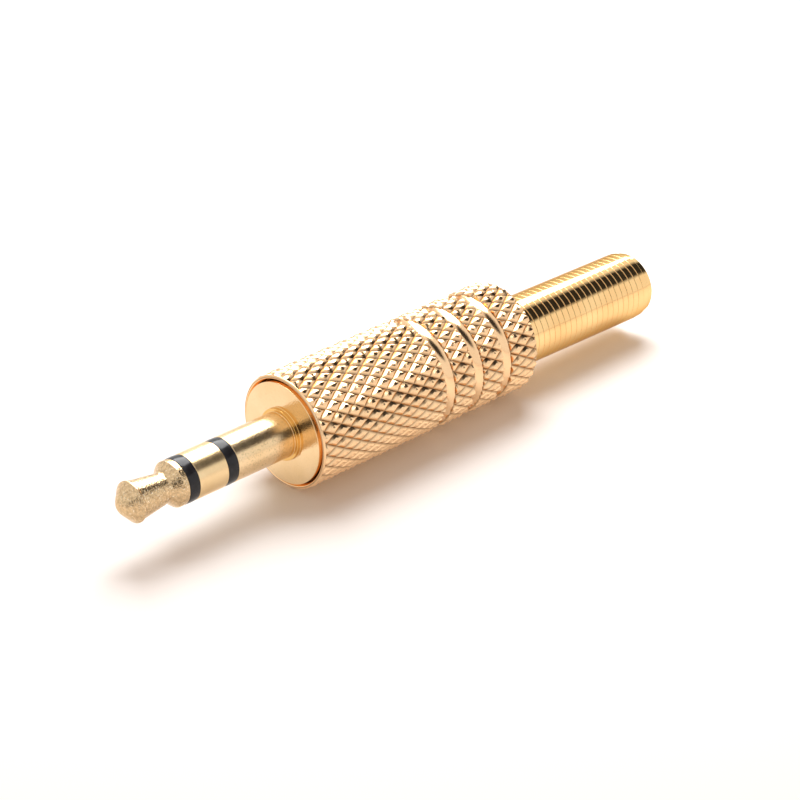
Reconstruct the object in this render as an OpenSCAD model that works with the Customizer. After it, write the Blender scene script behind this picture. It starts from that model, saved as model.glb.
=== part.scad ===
// Stereo jack plug, 3.5 mm, for a cable: riveted contact pin, knurled screw-on shell and coil strain relief.
// X runs along the plug from the tip (-X) to the cable end (+X), and +Z is up.
// The origin is on the plug's axis at the foot of the pin, in the front face of the step.

/* [Contact pin] */
// Diameter of the contact pin
pin_d = 3.5; // [3.3:0.05:3.8]
// Length of the pin in front of the step
pin_length = 14.7; // [14:0.1:16]
// Length of the sleeve contact in front of the step
sleeve_length = 5.25; // [4.5:0.05:6]
// Width of the rear insulating ring
rear_ring_w = 0.95; // [0.6:0.05:1.1]
// Length of the ring contact that shows
ring_contact_length = 2.6; // [2:0.1:3]
// Width of the front insulating ring
front_ring_w = 0.9; // [0.6:0.05:1.1]
// Height by which the insulating rings stand proud of the metal
ring_proud = 0.01; // [0:0.01:0.04]

/* [Tip] */
// Diameter of the narrow land behind the tip's neck
tip_land_d = 3.46; // [3.2:0.02:3.5]
// Length of that land
tip_land_w = 0.5; // [0.3:0.05:0.8]
// Length of the flare between the land and the neck
tip_flare = 0.8; // [0.5:0.05:1]
// Diameter of the neck, where the socket's contact catches
tip_neck_d = 2.3; // [2:0.05:2.6]
// Radius of the hollow round the neck
tip_neck_radius = 0.5; // [0.3:0.1:1]
// Diameter of the head just behind its rim
tip_head_d = 2.96; // [2.8:0.02:3.05]
// Diameter of the head's rim
tip_rim_d = 3.12; // [3.1:0.02:3.3]
// Width of the head's rim
tip_rim_w = 0.1; // [0.05:0.05:0.3]
// Length of the cone and its blunt end in front of the rim
nose_length = 1.05; // [1:0.05:1.4]
// Radius of that blunt end
nose_radius = 1.1; // [0.8:0.05:1.2]

/* [Contact core] */
// Diameter of the rod that runs back from the tip
rod_d = 1; // [0.8:0.05:1.1]
// Wall of the insulating tube over the rod
rod_insulation = 0.28; // [0.2:0.02:0.34]
// Wall of the ring contact's tube
ring_tube_wall = 0.29; // [0.2:0.01:0.36]
// Wall of the insulating tube over the ring contact's tube
ring_insulation = 0.27; // [0.2:0.01:0.34]
// Gap between tubes pressed over one another
stack_gap = 0.01; // [0.005:0.005:0.02]
// Wall of the body's tube behind the thread
boss_wall = 0.2; // [0.15:0.01:0.25]
// Width by which the body's riveted rim grips the ground terminal
body_lip = 0.25; // [0.15:0.01:0.3]
// Width by which the ring contact's riveted rim grips its terminal
ring_lip = 0.14; // [0.1:0.01:0.2]
// Height of the riveted rims
rivet_height = 0.12; // [0.08:0.01:0.2]
// Height of the rod's riveted head
rivet_dome = 0.3; // [0.2:0.02:0.4]

/* [Flange and thread] */
// Diameter of the step at the foot of the pin
step_d = 4; // [3.9:0.05:4.4]
// Length of that step
step_length = 0.3; // [0.2:0.05:0.6]
// Thickness of the flange
flange_thickness = 0.8; // [0.6:0.05:1.2]
// Bevel round the flange's front edge
flange_bevel = 0.1; // [0.05:0.01:0.2]
// Length of the screw thread behind the flange
thread_length = 4.5; // [3:0.5:6]
// Bevel at the end of the thread
thread_bevel = 0.3; // [0.1:0.05:0.4]
// Radial clearance between the thread and the shell
thread_clearance = 0.05; // [0.02:0.01:0.1]

/* [Shell] */
// Diameter of the shell over the crests of the knurl
shell_d = 8.88; // [8.2:0.02:10]
// Length of the shell
shell_length = 22.15; // [20:0.1:26]
// Wall of the shell over the thread, from the crests inwards
thread_wall = 0.89; // [0.8:0.01:1]
// Wall of the shell over the chamber behind the thread, from the crests inwards
chamber_wall = 0.74; // [0.66:0.01:0.8]
// Thickness of the rear wall that holds the spring in
rear_wall = 2; // [1:0.1:2.5]
// Distance by which the flange's face stands in front of the shell's mouth
mouth_setback = 0.15; // [0:0.05:0.3]
// Width of the smooth rim round the mouth, from the crests to the flange
rim_width = 0.51; // [0.45:0.01:0.6]
// Depth of the rim's outside below the crests
rim_drop = 0.08; // [0.04:0.01:0.12]
// Height of the rim's rounded outer edge
rim_bevel = 0.16; // [0.1:0.01:0.2]
// Bevel inside the mouth
mouth_bevel = 0.18; // [0.1:0.01:0.2]
// Bevel round the rear hole
hole_bevel = 0.2; // [0.1:0.05:0.3]
// Radial clearance between the flange and the shell's mouth
flange_clearance = 0.05; // [0.03:0.01:0.1]

/* [Knurl] */
// Number of diamonds round the shell
knurl_count = 28; // [20:1:36]
// Length of one diamond along the shell
knurl_pitch = 1.64; // [1.2:0.02:2.2]
// Depth of the knurl's grooves below its crests
knurl_depth = 0.24; // [0.1:0.02:0.28]
// Distance from the mouth to the first row of crests
knurl_margin = 0.4; // [0.25:0.05:1]
// Angle from the far side up to the first row of crests
knurl_turn = 11.5; // [0:0.5:12]
// Length over which the knurl runs out at a smooth groove or an end
knurl_lead = 0.16; // [0.1:0.01:0.2]
// Number of smooth round grooves turned into the knurl
groove_count = 3; // [1:1:3]
// Distance from the mouth to the middle of the first groove
groove_first = 12.85; // [10:0.1:13]
// Distance between the grooves' middles
groove_spacing = 3; // [2.4:0.1:3]
// Width of a groove
groove_w = 0.96; // [0.6:0.04:1.2]
// Depth of a groove below the crests
groove_depth = 0.33; // [0.28:0.01:0.4]
// Rise of a groove's hollow floor from its middle to its edge
groove_rise = 0.08; // [0:0.01:0.15]

/* [Spring] */
// Outside diameter of the strain relief spring
spring_d = 5.5; // [5.2:0.1:5.8]
// Diameter of the spring's wire
wire_d = 0.6; // [0.5:0.05:0.7]
// Gap between one turn and the next
turn_gap = 0.01; // [0.005:0.005:0.05]
// Length of the spring behind the shell
spring_out = 15.4; // [10:0.1:20]
// Number of wide turns that hold the spring inside the shell
flare_turns = 1.5; // [1:0.25:2]
// Number of turns over which they narrow to the others
narrowing_turns = 0.75; // [0.5:0.25:1]
// Number of turns that draw in at the cable end
tail_turns = 1.5; // [0.5:0.25:2]
// Height by which the last turn is drawn in
tail_step = 0.2; // [0:0.05:0.3]
// Side play of the spring in the shell's rear hole
spring_play = 0.4; // [0.3:0.05:0.42]
// Angle by which the spring hangs down behind the shell
spring_tilt = 1.2; // [0:0.1:2]

/* [Terminals] */
// Thickness of the stamped terminals
lug_sheet = 0.3; // [0.25:0.05:0.4]
// Width of the ground terminal's strip
ground_strip_w = 2.2; // [1.6:0.1:2.4]
// Distance from the thread to the hole in that strip
ground_hole_place = 4.4; // [3:0.1:6]
// Diameter of that hole
ground_hole_d = 1.2; // [0.8:0.1:1.4]
// Depth by which the ground terminal's washer stands inside the thread
ground_washer_step = 0.5; // [0.35:0.05:0.6]
// Inside diameter of the cable clamp
clamp_d = 3.4; // [3:0.1:3.6]
// Length of the cable clamp
clamp_length = 3.4; // [2:0.1:4]
// Gap between the cable clamp and the spring
clamp_gap = 1; // [0.5:0.1:2]
// Clearance between the clamp's ears and the insulating sleeve
ear_clearance = 0.16; // [0.1:0.02:0.3]
// Radius of the ears' corners
ear_round = 0.6; // [0.3:0.1:0.8]
// Distance by which an ear's sides lean in
ear_lean = 0.3; // [0:0.1:0.5]
// Width of the signal terminals' strips
signal_strip_w = 1.5; // [1.2:0.1:1.7]
// Distance of those strips outside their washers
signal_strip_step = 0.35; // [0.3:0.05:0.5]
// Length of the ring terminal's strip
ring_strip_length = 3.4; // [2.4:0.1:4.5]
// Length of the tip terminal's strip
tip_strip_length = 3.8; // [2.4:0.1:5]
// Angle of the signal terminals from the ground strip
signal_angle = 120; // [90:5:140]
// Diameter of their solder holes
solder_hole_d = 0.8; // [0.5:0.1:0.9]
// Width of the ring terminal's washer
ring_disc_w = 0.45; // [0.3:0.05:0.5]
// Width of the tip terminal's washer
tip_disc_w = 0.74; // [0.5:0.02:0.8]

/* [Insulating pieces] */
// Thickness of the insulating washers between the terminals
washer_thickness = 0.5; // [0.3:0.05:0.8]
// Width of the middle washer round the body's tube
middle_washer_w = 0.35; // [0.3:0.05:0.4]
// Width of the rear washer round the ring contact's tube
rear_washer_w = 0.4; // [0.3:0.05:0.5]
// Wall of the insulating sleeve round the terminals
liner_wall = 0.22; // [0.15:0.01:0.3]
// Gap between the insulating sleeve and the body's riveted rim
liner_front_gap = 0.2; // [0.1:0.05:0.4]
// Gap between the insulating sleeve and the spring
liner_end_gap = 0.25; // [0.1:0.05:1]
// Radial clearance between the insulating sleeve and the shell
liner_clearance = 0.1; // [0.05:0.01:0.15]

/* [Hidden] */

// Facets of the true round surfaces, and steps of the arcs in the outlines
$fn = 96;
arc_steps = 6;
// Overshoot of cuts, overlap of the solids that make one piece, and bevel of the turned pieces' sharp edges
overshoot = 0.05;
overlap = 0.01;
edge = 0.04;
// Share of a riveted rim's width that is left at its end, and of the knurl's height where it runs out
rim_taper = 0.4;
lead_height = 0.25;
// Sides and steps per turn of the spring's wire
wire_sides = 6;
turn_steps = 18;

// Places along the pin, from the foot forward
rear_ring_back = -sleeve_length;
rear_ring_front = rear_ring_back - rear_ring_w;
front_ring_back = rear_ring_front - ring_contact_length;
front_ring_front = front_ring_back - front_ring_w;
tip_end = -pin_length;

// Radii of the concentric core, from the middle out
pin_r = pin_d / 2;
rod_r = rod_d / 2;
rod_tube_in = rod_r + stack_gap;
rod_tube_out = rod_tube_in + rod_insulation;
ring_tube_in = rod_tube_out + stack_gap;
ring_tube_out = ring_tube_in + ring_tube_wall;
ring_cover_in = ring_tube_out + stack_gap;
ring_cover_out = ring_cover_in + ring_insulation;
sleeve_bore_r = ring_cover_out + stack_gap;
boss_r = sleeve_bore_r + boss_wall;

// Places along the shell, and its radii inside and out
flange_front = step_length;
flange_back = flange_front + flange_thickness;
thread_end = flange_back + thread_length;
mouth = flange_front + mouth_setback;
shell_end = mouth + shell_length;
rear_wall_face = shell_end - rear_wall;
shell_r = shell_d / 2;
thread_bore_r = shell_r - thread_wall;
thread_r = thread_bore_r - thread_clearance;
shell_bore_r = shell_r - chamber_wall;
flange_r = shell_r - rim_width;
mouth_r = flange_r + flange_clearance;
spring_r = spring_d / 2;
rear_hole_r = spring_r + spring_play;

// The knurl's first crests, and half of its pitch along the shell
knurl_start = mouth + knurl_margin;
knurl_half = knurl_pitch / 2;

// Centre line of the spring: its wide turns sit in the chamber, and the rest lies low in the rear hole
spring_pitch = wire_d + turn_gap;
spring_front = rear_wall_face - (flare_turns + narrowing_turns) * spring_pitch - wire_d;
spring_back = shell_end + spring_out;
spring_turns = (spring_back - spring_front - wire_d) / spring_pitch;
spring_drop = spring_play - thread_clearance;
flare_r = shell_bore_r - spring_drop - thread_clearance;
function blend(t) = let (c = min(1, max(0, t))) c * c * (3 - 2 * c);
function coil_r(turn) =
    spring_r - wire_d / 2
    + (flare_r - spring_r) * (1 - blend((turn - flare_turns) / narrowing_turns))
    - tail_step * blend((turn - spring_turns + tail_turns) / tail_turns);
function coil_drop(x) = spring_drop + (x - shell_end) * tan(spring_tilt);

// Insulating sleeve, between the shell and the terminals
liner_front = thread_end + lug_sheet + rivet_height + liner_front_gap;
liner_end = spring_front - liner_end_gap;
liner_out_r = min(thread_bore_r, shell_bore_r) - liner_clearance;
liner_in_r = liner_out_r - liner_wall;

// Cable clamp in front of the spring, level with the middle of the spring's free length
clamp_in_r = clamp_d / 2;
clamp_r = clamp_in_r + lug_sheet;
clamp_drop = coil_drop(shell_end + spring_out / 2);
clamp_front = spring_front - clamp_gap - clamp_length;
strip_level = clamp_drop + clamp_r;
lug_bend_r = 2 * lug_sheet;

// Places along the riveted stack behind the thread, and the radii of its washers
ground_back = thread_end + lug_sheet;
boss_back = ground_back + rivet_height;
middle_back = boss_back + washer_thickness;
ring_lug_back = middle_back + lug_sheet;
ring_rivet_back = ring_lug_back + rivet_height;
rear_back = ring_rivet_back + washer_thickness;
tip_lug_back = rear_back + lug_sheet;
ground_washer_r = thread_r - ground_washer_step;
middle_washer_r = boss_r + middle_washer_w;
ring_disc_r = ring_cover_in + ring_disc_w;
rear_washer_r = ring_tube_out + rear_washer_w;
tip_disc_r = rod_tube_in + tip_disc_w;

// Points on an arc about a centre c, from an angle a to an angle b
function arc(c, r, a, b) =
    [for (i = [0:arc_steps]) let (t = a + (b - a) * i / arc_steps) c + r * [cos(t), sin(t)]];

// Angle at which a line from a point p touches a circle about c, on the side that is turned by the sign
function touch(c, r, p, side) = atan2(p[1] - c[1], p[0] - c[0]) + side * acos(r / norm(p - c));

// Turns an outline of [place along the plug, radius] points into a solid of revolution about the X axis
module turned(outline) {
    rotate([0, 90, 0])
        rotate_extrude()
            polygon([for (p = outline) [p[1], p[0]]]);
}

// Cylinder along the X axis from place a to place b
module rod(a, b, r) {
    translate([a, 0, 0])
        rotate([0, 90, 0])
            cylinder(h = b - a, r = r);
}

// Tube along the X axis
module tube(a, b, outer, inner) {
    difference() {
        rod(a, b, outer);
        rod(a - overshoot, b + overshoot, inner);
    }
}

// Tip contact: blunt conical head, hollow neck, flare and land
module tip_head() {
    rim_front = [tip_end + nose_length, tip_rim_d / 2];
    head_back = [rim_front[0] + tip_rim_w + edge, tip_head_d / 2];
    land_front = [front_ring_front - tip_land_w, tip_land_d / 2 - edge];
    nose_c = [tip_end + nose_radius, 0];
    neck_c = [land_front[0] - tip_flare, tip_neck_d / 2 + tip_neck_radius];
    turned(concat(
        arc(nose_c, nose_radius, 180, touch(nose_c, nose_radius, rim_front, 1)),
        [rim_front, rim_front + [tip_rim_w, 0], head_back],
        arc(
            neck_c,
            tip_neck_radius,
            touch(neck_c, tip_neck_radius, head_back, 1),
            touch(neck_c, tip_neck_radius, land_front, -1)
        ),
        [land_front, land_front + [edge, edge], [front_ring_front, tip_land_d / 2], [front_ring_front, 0]]
    ));
}

// Round head of a rivet on the axis, from its foot at place x
module rivet_head(x, foot_r, height) {
    dome_r = (foot_r * foot_r + height * height) / (2 * height);
    dome_c = [x + height - dome_r, 0];
    turned(concat([[x, 0]], arc(dome_c, dome_r, asin(foot_r / dome_r), 0)));
}

// Tip contact with the rod that is riveted over the last terminal
module tip_contact() {
    color([0.86, 0.72, 0.47]) {
        tip_head();
        rod(front_ring_front - overlap, tip_lug_back + overlap, rod_r);
        rivet_head(tip_lug_back, rod_r + body_lip, rivet_dome);
    }
}

// Insulator of one contact: the ring that shows and the tube that runs back over the contact inside it
module insulator(front, back, inner, outer, tube_end) {
    crown = pin_r + ring_proud;
    turned([
        [front, inner],
        [front, crown - edge],
        [front + edge, crown],
        [back - edge, crown],
        [back, crown - edge],
        [back, outer],
        [tube_end, outer],
        [tube_end, inner]
    ]);
}

// Front insulator, between the tip and the ring contact
module tip_insulator() {
    color([0.12, 0.12, 0.14])
        insulator(front_ring_front, front_ring_back, rod_tube_in, rod_tube_out, ring_rivet_back);
}

// Rear insulator, between the ring contact and the sleeve
module ring_insulator() {
    color([0.12, 0.12, 0.14])
        insulator(rear_ring_front, rear_ring_back, ring_cover_in, ring_cover_out, boss_back);
}

// Ring contact: the band that shows, its tube and the rim riveted over the ring terminal
module ring_contact() {
    color([0.93, 0.79, 0.5])
        turned([
            [front_ring_back, ring_tube_in],
            [front_ring_back, pin_r - edge],
            [front_ring_back + edge, pin_r],
            [rear_ring_front - edge, pin_r],
            [rear_ring_front, pin_r - edge],
            [rear_ring_front, ring_tube_out],
            [ring_lug_back, ring_tube_out],
            [ring_lug_back, ring_tube_out + ring_lip],
            [ring_rivet_back, ring_tube_out + ring_lip * rim_taper],
            [ring_rivet_back, ring_tube_in]
        ]);
}

// Sleeve contact, step, flange and threaded shank, turned from one bar, with the rim riveted over the ground terminal
module sleeve_body() {
    step_r = step_d / 2;
    color([0.95, 0.82, 0.55])
        turned([
            [rear_ring_back, sleeve_bore_r],
            [rear_ring_back, pin_r - edge],
            [rear_ring_back + edge, pin_r],
            [0, pin_r],
            [0, step_r - edge],
            [edge, step_r],
            [flange_front, step_r],
            [flange_front, flange_r - flange_bevel],
            [flange_front + flange_bevel, flange_r],
            [flange_back, flange_r],
            [flange_back, thread_r],
            [thread_end - thread_bevel, thread_r],
            [thread_end, thread_r - thread_bevel],
            [thread_end, boss_r],
            [ground_back, boss_r],
            [ground_back, boss_r + body_lip],
            [boss_back, boss_r + body_lip * rim_taper],
            [boss_back, sleeve_bore_r]
        ]);
}

// Right-angled bend of sheet below the axis: from a washer that faces front to a strip that runs back
module lug_bend(x, level, width) {
    intersection() {
        translate([x + lug_bend_r, width / 2, lug_bend_r - level])
            rotate([90, 0, 0])
                difference() {
                    cylinder(h = width, r = lug_bend_r);
                    translate([0, 0, -overshoot])
                        cylinder(h = width + 2 * overshoot, r = lug_bend_r - lug_sheet);
                }
        translate([x, -width / 2, -level])
            cube([lug_bend_r, width, lug_bend_r]);
    }
}

// Neck of sheet that joins a washer to the bend below it
module lug_neck(x, level, width) {
    translate([x, -width / 2, lug_bend_r - level - overlap])
        cube([lug_sheet, width, level - lug_bend_r + overlap]);
}

// Stamped terminal: washer, bend and strip with a solder hole in its round end
module signal_lug(x, hole_r, disc_r, strip) {
    level = disc_r + signal_strip_step;
    strip_front = x + lug_bend_r;
    difference() {
        union() {
            rod(x, x + lug_sheet, disc_r);
            lug_neck(x, level, signal_strip_w);
            lug_bend(x, level, signal_strip_w);
            translate([strip_front - overlap, 0, -level])
                linear_extrude(height = lug_sheet) {
                    translate([0, -signal_strip_w / 2])
                        square([strip + overlap, signal_strip_w]);
                    translate([strip + overlap, 0])
                        circle(d = signal_strip_w);
                }
        }
        rod(x - overshoot, x + lug_sheet + overshoot, hole_r);
        translate([strip_front + strip, 0, -level - overshoot])
            cylinder(h = lug_sheet + 2 * overshoot, d = solder_hole_d);
    }
}

// Ground terminal under the riveted rim of the body: washer, long strip with a solder hole, and cable clamp
module ground_lug() {
    strip_front = thread_end + lug_bend_r;
    color([0.9, 0.76, 0.5])
        difference() {
            union() {
                rod(thread_end, ground_back, ground_washer_r);
                lug_neck(thread_end, strip_level, ground_strip_w);
                lug_bend(thread_end, strip_level, ground_strip_w);
                translate([strip_front - overlap, -ground_strip_w / 2, -strip_level])
                    cube([clamp_front + clamp_length / 2 - strip_front, ground_strip_w, lug_sheet]);
                translate([clamp_front, 0, -clamp_drop])
                    cable_clamp();
            }
            rod(thread_end - overshoot, ground_back + overshoot, boss_r + stack_gap);
            translate([thread_end + ground_hole_place, 0, -strip_level - overshoot])
                cylinder(h = lug_sheet + 2 * overshoot, d = ground_hole_d);
            rod_at_clamp();
        }
}

// Bore of the cable clamp, which also trims the strip that runs in under it
module rod_at_clamp() {
    translate([0, 0, -clamp_drop])
        rod(clamp_front - overshoot, clamp_front + clamp_length + overshoot, clamp_in_r);
}

// Cable clamp: a trough with two upright ears, open until a cable is laid in
module cable_clamp() {
    ear_reach = liner_in_r - ear_clearance;
    ear_top = sqrt(ear_reach * ear_reach - clamp_r * clamp_r) + clamp_drop;
    intersection() {
        rod(0, clamp_length, clamp_r);
        translate([0, -clamp_r, -clamp_r])
            cube([clamp_length, 2 * clamp_r, clamp_r]);
    }
    clamp_ear(ear_top);
    mirror([0, 1, 0])
        clamp_ear(ear_top);
}

// One ear of the cable clamp, with rounded corners
module clamp_ear(top) {
    back = clamp_length;
    foot = top / 2 - ear_round;
    translate([0, clamp_r, 0])
        rotate([90, 0, 0])
            linear_extrude(height = lug_sheet)
                polygon(concat(
                    [[0, -overlap], [back, -overlap], [back, foot]],
                    arc([back - ear_lean - ear_round, top - ear_round], ear_round, 0, 90),
                    arc([ear_lean + ear_round, top - ear_round], ear_round, 90, 180),
                    [[0, foot]]
                ));
}

// Insulating washer between the body's riveted rim and the ring terminal
module middle_washer() {
    color([0.85, 0.83, 0.76])
        tube(boss_back, middle_back, middle_washer_r, ring_cover_in);
}

// Ring terminal, up and to the near side
module ring_lug() {
    color([0.9, 0.76, 0.5])
        rotate([-signal_angle, 0, 0])
            signal_lug(middle_back, ring_cover_in, ring_disc_r, ring_strip_length);
}

// Insulating washer between the ring terminal's rivet and the tip terminal
module rear_washer() {
    color([0.85, 0.83, 0.76])
        tube(ring_rivet_back, rear_back, rear_washer_r, rod_tube_in);
}

// Tip terminal, up and to the far side
module tip_lug() {
    color([0.9, 0.76, 0.5])
        rotate([signal_angle, 0, 0])
            signal_lug(rear_back, rod_tube_in, tip_disc_r, tip_strip_length);
}

// Insulating sleeve that lines the shell round the terminals
module insulating_sleeve() {
    color([0.93, 0.92, 0.88])
        tube(liner_front, liner_end, liner_out_r, liner_in_r);
}

// Height of the knurl, from 0 in a groove to 1 on a crest, along the line of vertices of one parity
function knurl_height(x, parity) = let (k = (x - knurl_start) / knurl_half + parity) abs(1 - (k - 2 * floor(k / 2)));

// One ring of the shell's skin: its place, and its radii on the even and on the odd vertices
function smooth_ring(x, r) = [x, r, r];
function knurl_ring(x, rise) = [
    x,
    shell_r - knurl_depth * (1 - rise * knurl_height(x, 0)),
    shell_r - knurl_depth * (1 - rise * knurl_height(x, 1))
];

// Rings of one knurled band from a to b: low at its ends, full height between, on the knurl's own lattice
function knurl_band(a, b) =
    let (k0 = ceil((a + 1.5 * knurl_lead - knurl_start) / knurl_half))
    let (k1 = floor((b - 1.5 * knurl_lead - knurl_start) / knurl_half))
    concat(
        [knurl_ring(a, lead_height), knurl_ring(a + knurl_lead, 1)],
        k1 < k0 ? [] : [for (k = [k0:k1]) knurl_ring(knurl_start + k * knurl_half, 1)],
        [knurl_ring(b - knurl_lead, 1), knurl_ring(b, lead_height)]
    );

// Rings across the hollow floor of groove i
function groove_middle(i) = mouth + groove_first + i * groove_spacing;
function groove_floor(i) = [
    for (u = [-0.6, 0, 0.6])
        smooth_ring(groove_middle(i) + u * groove_w / 2, shell_r - groove_depth + groove_rise * u * u)
];

// All rings of the skin, from the mouth to the rear end
function band_start(i) = i == 0 ? knurl_start - knurl_lead / 2 : groove_middle(i - 1) + groove_w / 2;
function band_end(i) = i == groove_count ? shell_end - knurl_lead : groove_middle(i) - groove_w / 2;
skin_rings = concat(
    [smooth_ring(mouth, shell_r - rim_drop - rim_bevel), smooth_ring(mouth + 0.6 * rim_bevel, shell_r - rim_drop)],
    [for (i = [0:groove_count]) each concat(
        knurl_band(band_start(i), band_end(i)),
        i == groove_count ? [] : groove_floor(i)
    )],
    [smooth_ring(shell_end, shell_r - 2 * rim_bevel)]
);

// Closed skin of the knurled shell: every ring has two vertices for each diamond, high and low by turns
module knurled_skin() {
    sides = 2 * knurl_count;
    rings = len(skin_rings);
    points = [
        for (ring = skin_rings)
            for (j = [0:sides - 1])
                let (r = ring[1 + j % 2], a = knurl_turn + j * 360 / sides)
                [ring[0], r * cos(a), r * sin(a)]
    ];
    // Each cell is split along the groove between its two crests, so a diamond is four flat facets
    function cell(i, j) =
        let (n = (j + 1) % sides, a = i * sides + j, b = i * sides + n, c = a + sides, d = b + sides)
        norm([points[a][1], points[a][2]]) + norm([points[d][1], points[d][2]]) <
        norm([points[b][1], points[b][2]]) + norm([points[c][1], points[c][2]])
            ? [[a, d, b], [a, c, d]]
            : [[a, c, b], [b, c, d]];
    walls = [for (i = [0:rings - 2]) for (j = [0:sides - 1]) each cell(i, j)];
    front = [[for (j = [0:sides - 1]) j]];
    back = [[for (j = [sides - 1:-1:0]) (rings - 1) * sides + j]];
    polyhedron(points, concat(walls, front, back), convexity = 8);
}

// Knurled shell: stepped bore with mouth, thread, chamber and the rear hole for the spring
module knurled_shell() {
    color([0.88, 0.66, 0.48])
        difference() {
            knurled_skin();
            turned([
                [mouth - overshoot, 0],
                [mouth - overshoot, mouth_r + mouth_bevel],
                [mouth, mouth_r + mouth_bevel],
                [mouth + 1.5 * mouth_bevel, mouth_r],
                [flange_back, mouth_r],
                [flange_back, thread_bore_r],
                [thread_end, thread_bore_r],
                [thread_end, shell_bore_r],
                [rear_wall_face, shell_bore_r],
                [rear_wall_face, rear_hole_r],
                [shell_end - hole_bevel, rear_hole_r],
                [shell_end, rear_hole_r + hole_bevel],
                [shell_end + overshoot, rear_hole_r + hole_bevel],
                [shell_end + overshoot, 0]
            ]);
        }
}

// Strain relief spring: one wire of round section, wound close
module strain_relief_spring() {
    steps = ceil(spring_turns * turn_steps);
    wire_r = wire_d / 2;
    points = [
        for (i = [0:steps])
            let (turn = spring_turns * i / steps, a = 360 * turn)
            let (x = spring_front + wire_r + turn * spring_pitch, r = coil_r(turn), drop = coil_drop(x))
            for (j = [0:wire_sides - 1])
                let (b = 360 * j / wire_sides, reach = r + wire_r * cos(b))
                [x + wire_r * sin(b), reach * cos(a), reach * sin(a) - drop]
    ];
    walls = [
        for (i = [0:steps - 1])
            for (j = [0:wire_sides - 1])
                let (a = i * wire_sides + j, b = i * wire_sides + (j + 1) % wire_sides)
                each [[a, b + wire_sides, a + wire_sides], [a, b, b + wire_sides]]
    ];
    front = [[for (j = [wire_sides - 1:-1:0]) j]];
    back = [[for (j = [0:wire_sides - 1]) steps * wire_sides + j]];
    color([0.95, 0.76, 0.42])
        polyhedron(points, concat(walls, front, back), convexity = 40);
}

tip_contact();
tip_insulator();
ring_contact();
ring_insulator();
sleeve_body();
ground_lug();
middle_washer();
ring_lug();
rear_washer();
tip_lug();
insulating_sleeve();
knurled_shell();
strain_relief_spring();
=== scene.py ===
import math

import bmesh
import bpy
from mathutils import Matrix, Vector


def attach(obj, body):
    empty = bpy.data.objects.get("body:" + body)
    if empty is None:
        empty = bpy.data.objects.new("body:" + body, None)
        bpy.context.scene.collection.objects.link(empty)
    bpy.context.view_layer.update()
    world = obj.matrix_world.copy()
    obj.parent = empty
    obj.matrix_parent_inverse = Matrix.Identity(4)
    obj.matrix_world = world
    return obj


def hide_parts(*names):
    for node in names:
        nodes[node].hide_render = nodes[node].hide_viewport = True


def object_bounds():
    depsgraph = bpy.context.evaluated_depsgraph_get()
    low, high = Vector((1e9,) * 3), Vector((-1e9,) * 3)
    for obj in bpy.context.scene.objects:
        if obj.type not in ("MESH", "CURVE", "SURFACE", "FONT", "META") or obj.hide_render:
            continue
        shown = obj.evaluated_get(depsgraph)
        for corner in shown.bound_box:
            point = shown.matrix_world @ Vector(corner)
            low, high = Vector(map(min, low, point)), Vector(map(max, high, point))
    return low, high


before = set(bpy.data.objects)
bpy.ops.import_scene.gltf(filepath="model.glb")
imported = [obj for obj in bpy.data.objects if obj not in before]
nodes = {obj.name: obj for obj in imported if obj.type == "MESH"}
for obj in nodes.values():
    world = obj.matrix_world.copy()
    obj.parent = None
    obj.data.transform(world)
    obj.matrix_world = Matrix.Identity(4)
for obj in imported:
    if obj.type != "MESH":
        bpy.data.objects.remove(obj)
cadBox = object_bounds()
print("frame loaded:", len(nodes), "nodes")

# Pieces are modelled in millimetres on the plug's axis, which is X, and brought to metres when they are done
toMetres = 0.001
fullTurn = 2 * math.pi
mergeGap = 2e-4
places = {  # along the plug, in millimetres from the foot of the pin
    "tipEnd": -14.7,
    "frontRing": (-9.7, -8.8),
    "rearRing": (-6.2, -5.25),
    "flange": (0.3, 1.1),
    "threadEnd": 5.6,
    "mouth": 0.45,
    "shellEnd": 22.6,
    "springStart": 18.6275,
    "springEnd": 38.0,
}


# Modelling helpers

def newPoint(name, place):
    bpy.ops.object.select_all(action="DESELECT")
    bpy.ops.mesh.primitive_plane_add(size=1)
    piece = bpy.context.object
    piece.name = piece.data.name = name
    bpy.ops.object.mode_set(mode="EDIT")
    bpy.ops.mesh.select_mode(type="VERT")
    bpy.ops.mesh.merge(type="CENTER")
    bpy.ops.transform.translate(value=place)
    return piece


def drawOutline(name, outline, closed=True, angle=90):
    # a chain of edges through [place along the axis, radius] points, in a half plane turned by an angle
    across = Vector((0, math.cos(math.radians(angle)), math.sin(math.radians(angle))))
    chain = [Vector((x, 0, 0)) + across * r for x, r in outline]
    if closed:
        chain.append(chain[0])
    piece = newPoint(name, chain[0])
    for before, after in zip(chain, chain[1:]):
        bpy.ops.mesh.extrude_region_move(TRANSFORM_OT_translate={"value": after - before})
    return piece


def lathe(name, outline, steps=144, closed=True, angle=90, tidy=True):
    piece = drawOutline(name, outline, closed, angle)
    bpy.ops.mesh.select_all(action="SELECT")
    bpy.ops.mesh.spin(steps=steps, angle=fullTurn, center=(0, 0, 0), axis=(1, 0, 0))
    bpy.ops.mesh.select_all(action="SELECT")
    bpy.ops.mesh.remove_doubles(threshold=mergeGap)
    if tidy:
        bpy.ops.mesh.normals_make_consistent(inside=False)
    bpy.ops.object.mode_set(mode="OBJECT")
    return piece


def chooseVerts(piece, test):
    bpy.ops.mesh.select_mode(type="VERT")
    bpy.ops.mesh.select_all(action="DESELECT")
    grid = bmesh.from_edit_mesh(piece.data)
    for vert in grid.verts:
        if test(vert):
            vert.select_set(True)
    grid.select_flush(True)
    bmesh.update_edit_mesh(piece.data)


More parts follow.
